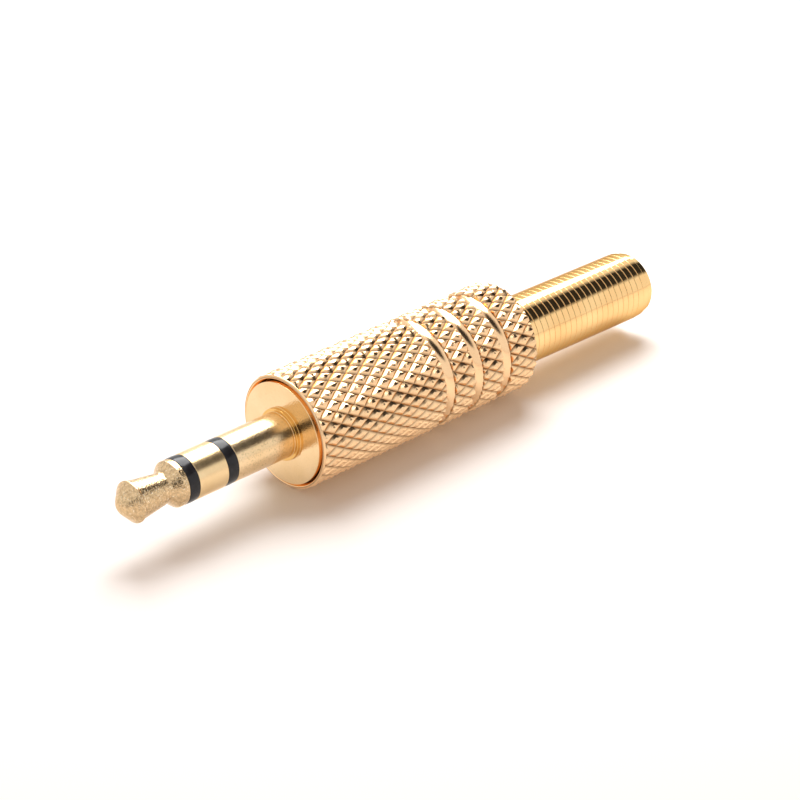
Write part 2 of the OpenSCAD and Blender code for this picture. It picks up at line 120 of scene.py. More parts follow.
def chooseFaces(piece, test):
    bpy.ops.mesh.select_mode(type="FACE")
    bpy.ops.mesh.select_all(action="DESELECT")
    grid = bmesh.from_edit_mesh(piece.data)
    for face in grid.faces:
        if test(face.calc_center_median()):
            face.select_set(True)
    bmesh.update_edit_mesh(piece.data)


def radiusOf(point):
    return math.hypot(point[1], point[2])


def useModifier(piece, kind, **settings):
    bpy.context.view_layer.objects.active = piece
    modifier = piece.modifiers.new(kind.lower(), kind)
    for key, value in settings.items():
        setattr(modifier, key, value)
    bpy.ops.object.modifier_apply(modifier=modifier.name)


def roundEdges(piece, width, segments=3, angle=30):
    useModifier(piece, "BEVEL", width=width, segments=segments, limit_method="ANGLE",
                angle_limit=math.radians(angle), use_clamp_overlap=True)


def joinInto(piece, others):
    bpy.ops.object.select_all(action="DESELECT")
    for other in [*others, piece]:
        other.select_set(True)
    bpy.context.view_layer.objects.active = piece
    bpy.ops.object.join()


def finishPiece(piece, body, node, finish, smoothAngle=40):
    bpy.ops.object.select_all(action="DESELECT")
    piece.select_set(True)
    bpy.context.view_layer.objects.active = piece
    bpy.ops.object.shade_smooth_by_angle(angle=math.radians(smoothAngle))
    useModifier(piece, "WEIGHTED_NORMAL", mode="FACE_AREA", keep_sharp=True, thresh=1e-6)
    piece.scale = (toMetres,) * 3
    bpy.ops.object.transform_apply(location=True, rotation=True, scale=True)
    piece.data.materials.clear()
    piece.data.materials.append(finish)
    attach(piece, body)
    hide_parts(node)
    print("made", piece.name, len(piece.data.polygons), "faces")


def arcPoints(centre, radius, start, end, steps):
    # [place, radius] points on an arc, with its angles in degrees from the direction of the axis
    points = []
    for i in range(steps + 1):
        a = math.radians(start + (end - start) * i / steps)
        points.append((centre[0] + radius * math.cos(a), centre[1] + radius * math.sin(a)))
    return points


# Finishes

def newFinish(name, colour, metallic, roughness):
    finish = bpy.data.materials.new(name)
    finish.use_nodes = True
    shader = finish.node_tree.nodes["Principled BSDF"]
    shader.inputs["Base Color"].default_value = (*colour, 1)
    shader.inputs["Metallic"].default_value = metallic
    shader.inputs["Roughness"].default_value = roughness
    return finish, finish.node_tree.nodes, finish.node_tree.links, shader


def addNode(nodeSet, kind, **settings):
    node = nodeSet.new(kind)
    for key, value in settings.items():
        setattr(node, key, value)
    return node


def addNoise(nodeSet, links, vector, scale, detail=3.0, roughness=0.5):
    noise = addNode(nodeSet, "ShaderNodeTexNoise")
    noise.inputs["Scale"].default_value = scale
    noise.inputs["Detail"].default_value = detail
    noise.inputs["Roughness"].default_value = roughness
    links.new(vector, noise.inputs["Vector"])
    return noise.outputs["Fac"]


def addRange(nodeSet, links, value, low, high, fromLow=0.3, fromHigh=0.7):
    spread = addNode(nodeSet, "ShaderNodeMapRange")
    spread.inputs["From Min"].default_value = fromLow
    spread.inputs["From Max"].default_value = fromHigh
    spread.inputs["To Min"].default_value = low
    spread.inputs["To Max"].default_value = high
    links.new(value, spread.inputs["Value"])
    return spread.outputs["Result"]


def addMath(nodeSet, links, operation, *values):
    node = addNode(nodeSet, "ShaderNodeMath", operation=operation)
    for socket, value in zip(node.inputs, values):
        if isinstance(value, (int, float)):
            socket.default_value = value
        else:
            links.new(value, socket)
    return node.outputs[0]


def addMix(nodeSet, links, factor, first, second):
    mix = addNode(nodeSet, "ShaderNodeMix", data_type="RGBA")
    links.new(factor, mix.inputs[0])
    for socket, value in ((mix.inputs[6], first), (mix.inputs[7], second)):
        if isinstance(value, tuple):
            socket.default_value = (*value, 1)
        else:
            links.new(value, socket)
    return mix.outputs[2]


def mixShaders(nodeSet, links, share, first, second):
    choice = addNode(nodeSet, "ShaderNodeMixShader")
    for socket, value in zip(choice.inputs, (share, first, second)):
        links.new(value, socket)
    return choice.outputs[0]


def addBump(nodeSet, links, shader, layers):
    # each layer is (height, distance in metres)
    normal = None
    for height, distance in layers:
        bump = addNode(nodeSet, "ShaderNodeBump")
        bump.inputs["Strength"].default_value = 1
        bump.inputs["Distance"].default_value = distance
        links.new(height, bump.inputs["Height"])
        if normal:
            links.new(normal, bump.inputs["Normal"])
        normal = bump.outputs["Normal"]
    links.new(normal, shader.inputs["Normal"])


def polarPlaces(nodeSet, links):
    # object coordinates, the distance from the plug's axis, and both as [place, radius] for turned marks
    coordinates = addNode(nodeSet, "ShaderNodeTexCoord").outputs["Object"]
    split = addNode(nodeSet, "ShaderNodeSeparateXYZ")
    links.new(coordinates, split.inputs[0])
    x, y, z = split.outputs
    squares = addMath(nodeSet, links, "ADD", addMath(nodeSet, links, "MULTIPLY", y, y),
                      addMath(nodeSet, links, "MULTIPLY", z, z))
    radius = addMath(nodeSet, links, "SQRT", squares)
    rings = addNode(nodeSet, "ShaderNodeCombineXYZ")
    links.new(x, rings.inputs[0])
    links.new(radius, rings.inputs[1])
    return coordinates, radius, rings.outputs[0]


# the pin's finish gives way to the flange's between these distances from the axis, in metres
pinToFlange = (0.0017, 0.0022)


def turnedMetal(name, look):
    finish, nodeSet, links, shader = newFinish(name, look["colour"], 1.0, look["roughness"][0])
    shader.inputs["Specular Tint"].default_value = (*look["edge"], 1)
    coordinates, radius, rings = polarPlaces(nodeSet, links)
    cloud = addNoise(nodeSet, links, coordinates, look["cloudScale"], detail=4)
    grain = addNoise(nodeSet, links, coordinates, look["grainScale"], detail=2, roughness=0.6)
    marks = addNoise(nodeSet, links, rings, look["markScale"], detail=3, roughness=0.6)
    colour = addMix(nodeSet, links, addRange(nodeSet, links, cloud, 0, 1), look["shade"], look["colour"])
    speck = addMath(nodeSet, links, "MULTIPLY", addRange(nodeSet, links, grain, 0, 1, *look["speckRange"]),
                    look["speckAmount"])
    if "flatSpecks" in look:
        # fewer specks on the flange than on the pin
        fewer = addRange(nodeSet, links, radius, 1, look["flatSpecks"], *pinToFlange)
        speck = addMath(nodeSet, links, "MULTIPLY", speck, fewer)
    colour = addMix(nodeSet, links, speck, colour, look["speck"])
    if "shaded" in look:
        # painted shade: a deeper colour between two distances from the axis, in recesses
        outside = addRange(nodeSet, links, radius, 0, 1, *look["shadedFrom"])
        inside = addRange(nodeSet, links, radius, 1, 0, *look["shadedTo"])
        shadedMask = addMath(nodeSet, links, "MULTIPLY", outside, inside)
        colour = addMix(nodeSet, links, shadedMask, colour, look["shaded"])
    links.new(colour, shader.inputs["Base Color"])
    halfCloud = addMath(nodeSet, links, "MULTIPLY", cloud, 0.5)
    blend = addMath(nodeSet, links, "MULTIPLY_ADD", marks, 0.5, halfCloud)
    rough = addRange(nodeSet, links, blend, *look["roughness"])
    if "pinRoughness" in look:
        # rougher on the pin than on the flange
        more = addRange(nodeSet, links, radius, look["pinRoughness"], 0, *pinToFlange)
        rough = addMath(nodeSet, links, "ADD", rough, more)
    links.new(rough, shader.inputs["Roughness"])
    addBump(nodeSet, links, shader, [(marks, look["markDepth"]), (grain, look["grainDepth"])])
    return finish


def glossPlastic(name, look):
    finish, nodeSet, links, shader = newFinish(name, look["colour"], 0.0, look["roughness"][0])
    shader.inputs["Coat Weight"].default_value = look["coat"]
    shader.inputs["Coat Roughness"].default_value = look["coatRoughness"]
    shader.inputs["Specular IOR Level"].default_value = look["shine"]
    coordinates, _, rings = polarPlaces(nodeSet, links)
    cloud = addNoise(nodeSet, links, coordinates, look["cloudScale"], detail=4)
    marks = addNoise(nodeSet, links, rings, look["markScale"], detail=2)
    colour = addMix(nodeSet, links, addRange(nodeSet, links, cloud, 0, 1), look["shade"], look["colour"])
    links.new(colour, shader.inputs["Base Color"])
    links.new(addRange(nodeSet, links, marks, *look["roughness"]), shader.inputs["Roughness"])
    addBump(nodeSet, links, shader, [(marks, look["markDepth"]), (cloud, look["markDepth"])])
    return finish


def fibreBoard(name, look):
    finish, nodeSet, links, shader = newFinish(name, look["colour"], 0.0, sum(look["roughness"]) / 2)
    coordinates = addNode(nodeSet, "ShaderNodeTexCoord").outputs["Object"]
    fibres = addNoise(nodeSet, links, coordinates, look["fibreScale"], detail=5, roughness=0.7)
    cloud = addNoise(nodeSet, links, coordinates, look["cloudScale"], detail=3)
    colour = addMix(nodeSet, links, addRange(nodeSet, links, fibres, 0, 1), look["shade"], look["colour"])
    stained = addRange(nodeSet, links, cloud, 0, look["stainAmount"])
    colour = addMix(nodeSet, links, stained, colour, look["stain"])
    links.new(colour, shader.inputs["Base Color"])
    links.new(addRange(nodeSet, links, fibres, *look["roughness"]), shader.inputs["Roughness"])
    addBump(nodeSet, links, shader, [(fibres, look["depth"])])
    return finish


metalLooks = {
    "sandyTip": {
        "colour": (0.84, 0.60, 0.34), "shade": (0.50, 0.34, 0.18), "edge": (1.0, 0.95, 0.90),
        # the bright specks are painted glints
        "speck": (1.0, 0.88, 0.66), "speckAmount": 0.8, "speckRange": (0.58, 0.72),
        "roughness": (0.12, 0.20), "cloudScale": 5200, "grainScale": 7500, "markScale": 7000,
        "grainDepth": 3.2e-5, "markDepth": 1e-6,
    },
    "satinContact": {
        "colour": (0.90, 0.67, 0.38), "shade": (0.80, 0.56, 0.29), "edge": (1.0, 0.95, 0.90),
        "speck": (0.62, 0.44, 0.22), "speckAmount": 0.25, "speckRange": (0.62, 0.75),
        "roughness": (0.20, 0.28), "cloudScale": 500, "grainScale": 9000, "markScale": 9000,
        "grainDepth": 3e-6, "markDepth": 6e-7,
    },
    "polishedBody": {
        "colour": (0.91, 0.68, 0.41), "shade": (0.84, 0.60, 0.33), "edge": (1.0, 0.95, 0.90),
        "speck": (0.42, 0.28, 0.12), "speckAmount": 0.7, "speckRange": (0.56, 0.70), "flatSpecks": 0.2,
        # painted shade: the collar in the corner at the pin's foot gets a deeper orange
        "shaded": (0.80, 0.48, 0.16), "shadedFrom": (0.001765, 0.00178), "shadedTo": (0.002005, 0.00202),
        "roughness": (0.06, 0.13), "pinRoughness": 0.13, "cloudScale": 400, "grainScale": 9000,
        "markScale": 6000, "grainDepth": 8e-6, "markDepth": 1e-6,
    },
    "roseShell": {
        "colour": (0.98, 0.66, 0.38), "shade": (0.93, 0.59, 0.32), "edge": (0.88, 0.76, 0.66),
        "speck": (0.60, 0.33, 0.15), "speckAmount": 0.15, "speckRange": (0.62, 0.75),
        # painted shade: the bottoms of the knurl's valleys get a darker colour
        "shaded": (0.44, 0.28, 0.15), "shadedFrom": (0.004178, 0.004186), "shadedTo": (0.00421, 0.00430),
        "roughness": (0.12, 0.20), "cloudScale": 350, "grainScale": 9000, "markScale": 3000,
        "grainDepth": 3e-6, "markDepth": 1e-6,
    },
    "springGold": {
        "colour": (1.0, 0.68, 0.32), "shade": (0.96, 0.60, 0.26), "edge": (0.55, 0.42, 0.30),
        "speck": (0.55, 0.36, 0.12), "speckAmount": 0.15, "speckRange": (0.62, 0.75),
        "roughness": (0.06, 0.12), "cloudScale": 350, "grainScale": 8000, "markScale": 5000,
        "grainDepth": 1.5e-6, "markDepth": 1e-6,
    },
    "stampedLug": {
        "colour": (0.90, 0.70, 0.38), "shade": (0.80, 0.58, 0.28), "edge": (1.0, 0.95, 0.90),
        "speck": (0.60, 0.45, 0.25), "speckAmount": 0.3, "speckRange": (0.62, 0.75),
        "roughness": (0.24, 0.36), "cloudScale": 700, "grainScale": 9000, "markScale": 2500,
        "grainDepth": 4e-6, "markDepth": 1e-6,
    },
}
plasticLooks = {
    "blackRing": {
        "colour": (0.012, 0.012, 0.014), "shade": (0.02, 0.02, 0.024), "roughness": (0.12, 0.24),
        "coat": 0.1, "coatRoughness": 0.08, "shine": 0.25, "cloudScale": 2500, "markScale": 9000,
        "markDepth": 2e-6,
    },
    "milkyPlastic": {
        "colour": (0.80, 0.78, 0.70), "shade": (0.72, 0.69, 0.60), "roughness": (0.30, 0.45),
        "coat": 0.1, "coatRoughness": 0.08, "shine": 0.5, "cloudScale": 500, "markScale": 3000,
        "markDepth": 4e-6,
    },
}
boardLook = {
    "colour": (0.72, 0.60, 0.42), "shade": (0.55, 0.42, 0.26), "stain": (0.45, 0.32, 0.18),
    "stainAmount": 0.4, "roughness": (0.6, 0.9), "fibreScale": 9000, "cloudScale": 900, "depth": 1.5e-5,
}
finishes = {name: turnedMetal(name, look) for name, look in metalLooks.items()}
finishes.update({name: glossPlastic(name, look) for name, look in plasticLooks.items()})
finishes["fibreWasher"] = fibreBoard("fibreWasher", boardLook)
print("finishes made:", len(finishes))

# The pieces hidden in the shell keep their shapes and get a finish
hiddenPieces = {
    "ground_lug": "stampedLug", "ring_lug": "stampedLug", "tip_lug": "stampedLug",
    "middle_washer": "fibreWasher", "rear_washer": "fibreWasher", "insulating_sleeve": "milkyPlastic",
}
for nodeName, finishName in hiddenPieces.items():
    nodes[nodeName].data.materials.clear()
    nodes[nodeName].data.materials.append(finishes[finishName])

# Contact pin: tip, two black rings, ring contact and sleeve

pin = {"radius": 1.75, "rodRadius": 0.5, "rodEnd": 7.74, "headRadius": 0.75, "headRise": 0.3, "headSteps": 6}
tip = {
    "noseRadius": 1.1, "noseSteps": 8, "rimPlace": -13.65, "rimRadius": 1.56, "rimWidth": 0.16,
    "headRadius": 1.48, "neckCentre": (-11.0, 1.65), "neckRadius": 0.5, "neckSteps": 10, "landPlace": -10.2,
    "landRadius": 1.73, "chamfer": 0.04, "edge": 0.05,
}


def touchAngle(centre, radius, point, side):
    # where a line from a point touches an arc, in degrees from the direction of the axis
    across, along = point[1] - centre[1], point[0] - centre[0]
    return math.degrees(math.atan2(across, along) + side * math.acos(radius / math.hypot(across, along)))


def makeTip():
    end = places["tipEnd"]
    back = places["frontRing"][0]
    nose = (end + tip["noseRadius"], 0), tip["noseRadius"]
    rim = (tip["rimPlace"], tip["rimRadius"])
    head = (tip["rimPlace"] + tip["rimWidth"] + tip["chamfer"], tip["headRadius"])
    land = (tip["landPlace"], tip["landRadius"] - tip["chamfer"])
    neck = tip["neckCentre"], tip["neckRadius"]
    outline = arcPoints(*nose, 180, touchAngle(*nose, rim, 1), tip["noseSteps"])
    outline += [rim, (rim[0] + tip["rimWidth"], rim[1]), head]
    outline += arcPoints(*neck, touchAngle(*neck, head, 1), touchAngle(*neck, land, -1), tip["neckSteps"])
    outline += [land, (land[0] + tip["chamfer"], tip["landRadius"]), (back, tip["landRadius"])]
    outline += [(back, pin["rodRadius"]), (pin["rodEnd"], pin["rodRadius"])]
    outline += [(pin["rodEnd"], pin["headRadius"])]
    # the rod's riveted head
    rise = pin["headRise"]
    domeRadius = (pin["headRadius"] ** 2 + rise ** 2) / (2 * rise)
    domeCentre = (pin["rodEnd"] + rise - domeRadius, 0)
    spread = math.degrees(math.asin(pin["headRadius"] / domeRadius))
    outline += arcPoints(domeCentre, domeRadius, spread, 0, pin["headSteps"])[1:]
    piece = lathe("tipContact", outline, closed=False)
    roundEdges(piece, tip["edge"])
    finishPiece(piece, "contact_core", "tip_contact", finishes["sandyTip"])


blackRings = {  # each with its tube, which runs back between the metal pieces
    "frontRing": {"node": "tip_insulator", "bore": 0.51, "tube": 0.79, "tubeEnd": 6.94},
    "rearRing": {"node": "ring_insulator", "bore": 1.1, "tube": 1.37, "tubeEnd": 6.02},
}
ringShape = {"crown": 1.765, "crownRise": 0.03, "edge": 0.04}


def makeRing(name, ring):
    front, back = places[name]
    crown = ringShape["crown"]
    side = crown - ringShape["crownRise"]
    outline = [(front, ring["bore"]), (front, side), ((front + back) / 2, crown), (back, side),
               (back, ring["tube"]), (ring["tubeEnd"], ring["tube"]), (ring["tubeEnd"], ring["bore"])]
    piece = lathe(name, outline)
    roundEdges(piece, ringShape["edge"])
    finishPiece(piece, "contact_core", ring["node"], finishes["blackRing"])


contact = {
    "bore": 0.8, "tube": 1.09, "tubeEnd": 6.82, "rivetEnd": 6.94, "rivetRadius": (1.23, 1.15), "edge": 0.035,
}


def makeRingContact():
    front, back = places["frontRing"][1], places["rearRing"][0]
    tubeEnd, rivetEnd = contact["tubeEnd"], contact["rivetEnd"]
    rivetFront, rivetBack = contact["rivetRadius"]
    outline = [(front, contact["bore"]), (front, pin["radius"]), (back, pin["radius"]),
               (back, contact["tube"]), (tubeEnd, contact["tube"]), (tubeEnd, rivetFront),
               (rivetEnd, rivetBack), (rivetEnd, contact["bore"])]
    piece = lathe("ringContact", outline)
    roundEdges(piece, contact["edge"])
    finishPiece(piece, "contact_core", "ring_contact", finishes["satinContact"])


thread = {  # the half widths are shares of the pitch
    "pitch": 0.5, "footHalf": 0.48, "rootHalf": 0.44, "crestHalf": 0.07, "sink": 0.04, "endGap": 0.1,
    "steps": 72,
}


def coilOutline(name, outline, turns, pitch, steps, angle=90):
    # a closed outline carried round the axis, a pitch along it each turn, with its two ends filled
    piece = drawOutline(name, outline, True, angle)
    bpy.ops.mesh.select_all(action="SELECT")
    bpy.ops.mesh.remove_doubles(threshold=mergeGap)
    bpy.ops.object.mode_set(mode="OBJECT")
    useModifier(piece, "SCREW", axis="X", angle=fullTurn * turns, screw_offset=pitch * turns,
                steps=round(steps * turns), render_steps=round(steps * turns), use_merge_vertices=False)
    bpy.ops.object.mode_set(mode="EDIT")
    bpy.ops.mesh.select_all(action="SELECT")
    bpy.ops.mesh.fill_holes(sides=0)
    bpy.ops.mesh.select_all(action="SELECT")
    bpy.ops.mesh.normals_make_consistent(inside=False)
    bpy.ops.object.mode_set(mode="OBJECT")
    return piece


def makeThread(name, front, back, root, crest):
    # a ridge from root to crest, which may be the smaller one, between two places
    pitch, foot, low, high = (thread[key] for key in ("pitch", "footHalf", "rootHalf", "crestHalf"))
    start = front + pitch * 0.5
    turns = (back - thread["endGap"] - pitch * 0.5 - start) / pitch
    sink = thread["sink"] if crest > root else -thread["sink"]
    outline = [(start - pitch * foot, root - sink), (start - pitch * low, root),
               (start - pitch * high, crest), (start + pitch * high, crest),
               (start + pitch * low, root), (start + pitch * foot, root - sink)]
    return coilOutline(name, outline, turns, pitch, thread["steps"])


body = {
    "stepRadius": 2.0, "flangeRadius": 3.93, "threadRoot": 3.22, "threadCrest": 3.5, "relief": 0.35,
    "reliefDepth": 0.05, "bore": 1.38, "boss": 1.58, "bossLength": 0.3, "lip": 1.83, "lipEnd": 0.42,
    "lipRadius": 1.68, "edge": 0.05, "steps": 160,
}


def makeBody():
    front = places["rearRing"][1]
    flangeFront, flangeBack = places["flange"]
    end = places["threadEnd"]
    root = body["threadRoot"]
    reliefEnd = flangeBack + body["relief"]
    reliefRadius = root - body["reliefDepth"]
    bossEnd = end + body["bossLength"]
    lipEnd = end + body["lipEnd"]
    outline = [(front, body["bore"]), (front, pin["radius"]), (0, pin["radius"]), (0, body["stepRadius"]),
               (flangeFront, body["stepRadius"]), (flangeFront, body["flangeRadius"]),
               (flangeBack, body["flangeRadius"]), (flangeBack, reliefRadius), (reliefEnd, reliefRadius),
               (reliefEnd + body["reliefDepth"], root), (end, root), (end, body["boss"]),
               (bossEnd, body["boss"]), (bossEnd, body["lip"]), (lipEnd, body["lipRadius"]),
               (lipEnd, body["bore"])]
    piece = lathe("plugBody", outline, body["steps"])
    roundEdges(piece, body["edge"])
    ridge = makeThread("bodyThread", reliefEnd, end, root, body["threadCrest"])
    joinInto(piece, [ridge])
    finishPiece(piece, "contact_core", "sleeve_body", finishes["polishedBody"])


makeTip()
for ringName, ringSizes in blackRings.items():
    makeRing(ringName, ringSizes)
makeRingContact()
makeBody()

# Knurled shell

shell = {
    "radius": 4.44, "smoothAngle": 38, "edge": 0.05, "steps": 168,
    # the diamonds: flat pads on pyramids, with rounded edges and a slight dome; padBand and padTop say how
    # far under the pads a face may lie to be chosen with them
    "knurlCount": 28, "knurlPitch": 1.64, "knurlDepth": 0.24, "knurlStart": 0.85, "knurlTurn": 11.5,
    "padShare": 0.5, "padEdge": 0.035, "padDome": 0.075, "padBand": 0.04, "padTop": 0.008,
    "bandStart": 0.63, "bandEnd": 22.44, "cutGap": 1e-5,
    # the grooves, whose floors are hollow
    "grooves": (13.3, 16.3, 19.3), "grooveWidth": 0.96, "grooveDepth": 0.33, "grooveRise": 0.08,
    "grooveShares": (-0.9, -0.6, -0.3, 0, 0.3, 0.6, 0.9),
    # the rim and the mouth, each step as (along, across)
    "rimStep": (0.03, 0.085), "rimRound": (0.1, 0.09), "mouthDrop": 0.22, "mouthChamfer": (0.25, 0.16),
    "mouthRadius": 3.98, "seatStep": 0.05, "threadRoot": 3.83, "threadCrest": 3.55, "threadStart": 0.1,
    # the chamber and the rear hole
    "chamber": 3.7, "chamberStep": 0.1, "rearWall": 20.6, "rearHole": 3.15, "holeChamfer": 0.2,
    "rearRound": (0.05, 0.2), "rearDrop": 0.36,
    # the seams of the knurl and the smooth strips: how far along and how deep a point of a seam may lie
    "seamGap": 1e-3, "seamReach": 0.5,
}


def makeKnurl():
    count, half, radius = shell["knurlCount"], shell["knurlPitch"] / 2, shell["radius"]
    pitRadius = radius - shell["knurlDepth"]
    padRadius = radius - shell["padDome"]
    peakRadius = pitRadius + (padRadius - pitRadius) / (1 - shell["padShare"])
    rows = math.ceil((shell["bandEnd"] - shell["knurlStart"]) / half) + 1
    outline = [(shell["knurlStart"] + k * half, peakRadius) for k in range(-1, rows + 1)]
    turned = 90 + shell["knurlTurn"]
    piece = lathe("knurledShell", outline, 2 * count, closed=False, angle=turned, tidy=False)
    bpy.ops.object.mode_set(mode="EDIT")

    def isPit(vert):
        row = round((vert.co.x - shell["knurlStart"]) / half)
        spoke = round((math.degrees(math.atan2(vert.co.z, vert.co.y)) - shell["knurlTurn"]) * count / 180)
        return (row + spoke) % 2 == 1

    chooseVerts(piece, isPit)
    low = pitRadius / peakRadius
    bpy.ops.transform.resize(value=(1, low, low), center_override=(0, 0, 0))
    bpy.ops.mesh.select_all(action="SELECT")
    bpy.ops.mesh.quads_convert_to_tris(quad_method="SHORTEST_DIAGONAL")
    chooseVerts(piece, lambda vert: not isPit(vert) and not vert.is_boundary)
    bpy.ops.mesh.bevel(offset_type="PERCENT", offset_pct=100 * shell["padShare"], affect="VERTICES",
                       segments=1)
    chooseFaces(piece, lambda centre: radiusOf(centre) > padRadius - shell["padBand"])
    bpy.ops.mesh.region_to_loop()
    bpy.ops.mesh.bevel(offset=shell["padEdge"], affect="EDGES", segments=2)
    chooseFaces(piece, lambda centre: radiusOf(centre) > padRadius - shell["padTop"])
    bpy.ops.mesh.poke(offset=shell["padDome"])
    cuts = [shell["bandStart"], shell["bandEnd"]]
    for middle in shell["grooves"]:
        cuts += [middle - shell["grooveWidth"] / 2, middle + shell["grooveWidth"] / 2]
    for place in cuts:
        bpy.ops.mesh.select_all(action="SELECT")
        bpy.ops.mesh.bisect(plane_co=(place, 0, 0), plane_no=(1, 0, 0), threshold=shell["cutGap"])

    def isCutAway(centre):
        inGroove = any(abs(centre.x - middle) < shell["grooveWidth"] / 2 for middle in shell["grooves"])
        return inGroove or centre.x < shell["bandStart"] or centre.x > shell["bandEnd"]

    chooseFaces(piece, isCutAway)
    bpy.ops.mesh.delete(type="FACE")
    bpy.ops.object.mode_set(mode="OBJECT")
    return piece


def shellAround():
    # from the rear edge, through the rear hole, the chamber and the thread's root, to the mouth and the rim
    radius, hole, wall, root = (shell[key] for key in ("radius", "rearHole", "rearWall", "threadRoot"))
    mouth, end = places["mouth"], places["shellEnd"]
    flangeBack, threadEnd = places["flange"][1], places["threadEnd"]
    mouthRadius = shell["mouthRadius"]
    return [
        (shell["bandEnd"] + shell["rearRound"][0], radius - shell["rearRound"][1]),
        (end, radius - shell["rearDrop"]), (end, hole + shell["holeChamfer"]),
        (end - shell["holeChamfer"], hole), (wall, hole), (wall, shell["chamber"]),
        (threadEnd + shell["chamberStep"], shell["chamber"]), (threadEnd, root),
        (flangeBack + shell["seatStep"], root), (flangeBack, mouthRadius),
        (mouth + shell["mouthChamfer"][0], mouthRadius), (mouth, mouthRadius + shell["mouthChamfer"][1]),
        (mouth, radius - shell["mouthDrop"]),
        (mouth + shell["rimRound"][0], radius - shell["rimRound"][1]),
        (shell["bandStart"] - shell["rimStep"][0], radius - shell["rimStep"][1]),
    ]


def makeShell():
    piece = makeKnurl()
    radius, half = shell["radius"], shell["grooveWidth"] / 2
    seams, strips = [], []
    for middle in shell["grooves"]:
        floor = [(middle + u * half, radius - shell["grooveDepth"] + shell["grooveRise"] * u * u)
                 for u in shell["grooveShares"]]
        strips.append(lathe("grooveFloor", floor, shell["steps"], closed=False, tidy=False))
        seams += [(middle - half, floor[0][0]), (middle + half, floor[-1][0])]
    around = shellAround()
    strips.append(lathe("shellBore", around, shell["steps"], closed=False, tidy=False))
    roundEdges(strips[-1], shell["edge"])
    seams += [(shell["bandEnd"], around[0][0]), (shell["bandStart"], around[-1][0])]
    joinInto(piece, strips)
    bpy.ops.object.mode_set(mode="EDIT")
    for first, second in seams:
        def atSeam(vert, first=first, second=second):
            onSeam = min(abs(vert.co.x - first), abs(vert.co.x - second)) < shell["seamGap"]
            return vert.is_boundary and onSeam and radiusOf(vert.co) > radius - shell["seamReach"]
        chooseVerts(piece, atSeam)
        bpy.ops.mesh.select_mode(type="EDGE")
        bpy.ops.mesh.bridge_edge_loops()
    bpy.ops.mesh.select_all(action="SELECT")
    bpy.ops.mesh.remove_doubles(threshold=mergeGap)
    bpy.ops.mesh.normals_make_consistent(inside=False)
    bpy.ops.object.mode_set(mode="OBJECT")
    ridge = makeThread("shellThread", places["flange"][1] + shell["threadStart"], places["threadEnd"],
                       shell["threadRoot"], shell["threadCrest"])
    joinInto(piece, [ridge])
    finishPiece(piece, "shell", "knurled_shell", finishes["roseShell"], shell["smoothAngle"])


makeShell()

# Strain relief spring

spring = {
    "radius": 2.45, "wireWide": 0.297, "wireHigh": 0.3, "squareness": 20, "outlinePoints": 20,
    "pitch": 0.61, "frontInset": 0.3, "backInset": 0.36, "wideRadius": 3.0, "wideTurns": 1.5,
    "narrowingTurns": 0.75, "tailTurns": 1.5, "tailStep": 0.2, "drop": 0.35, "tilt": 1.2, "steps": 48,
    "slices": 12, "leastGrow": 1e-3,
}


def easeIn(t):
    t = min(1, max(0, t))
    return t * t * (3 - 2 * t)


def wireOutline(start):
    # a flattened round, which leaves narrow lines between the turns
    points = []
    power = 2 / spring["squareness"]
    for i in range(spring["outlinePoints"]):
        a = fullTurn * (i + 0.5) / spring["outlinePoints"]
        along, across = (math.copysign(abs(v) ** power, v) for v in (math.cos(a), math.sin(a)))
        points.append((start + spring["wireWide"] * along, spring["radius"] + spring["wireHigh"] * across))
    return points


def makeSpring():
    # the middle of the wire lies a little in from both ends
    start, end = places["springStart"] + spring["frontInset"], places["springEnd"] - spring["backInset"]
    pitch, slices = spring["pitch"], spring["slices"]
    turns = (end - start) / pitch
    piece = coilOutline("reliefSpring", wireOutline(start), turns, pitch, spring["steps"], angle=0)
    bpy.ops.object.mode_set(mode="EDIT")

    def turnOf(vert):
        part = math.atan2(vert.co.z, vert.co.y) / fullTurn
        return round((vert.co.x - start) / pitch - part) + part

    # slice by slice, the front turns are drawn out and the tail is drawn in
    for k in range(-slices, round((turns + 1) * slices)):
        middle = (k + 0.5) / slices
        narrowed = easeIn((middle - spring["wideTurns"]) / spring["narrowingTurns"])
        tailed = easeIn((middle - turns + spring["tailTurns"]) / spring["tailTurns"])
        grow = (spring["wideRadius"] - spring["radius"]) * (1 - narrowed) - spring["tailStep"] * tailed
        if abs(grow) > spring["leastGrow"]:
            chooseVerts(piece, lambda vert: k <= turnOf(vert) * slices < k + 1)
            share = 1 + grow / spring["radius"]
            bpy.ops.transform.resize(value=(1, share, share), center_override=(0, 0, 0))
    bpy.ops.mesh.select_all(action="SELECT")
    bpy.ops.transform.translate(value=(0, 0, -spring["drop"]))
    bpy.ops.object.mode_set(mode="OBJECT")
    hang = Vector((places["shellEnd"], 0, -spring["drop"]))
    piece.rotation_euler = (0, math.radians(spring["tilt"]), 0)
    piece.location = hang - piece.rotation_euler.to_matrix() @ hang
    bpy.ops.object.transform_apply(location=True, rotation=True, scale=True)
    finishPiece(piece, "spring", "strain_relief_spring", finishes["springGold"])


makeSpring()

# Stage: white floor, soft light, camera

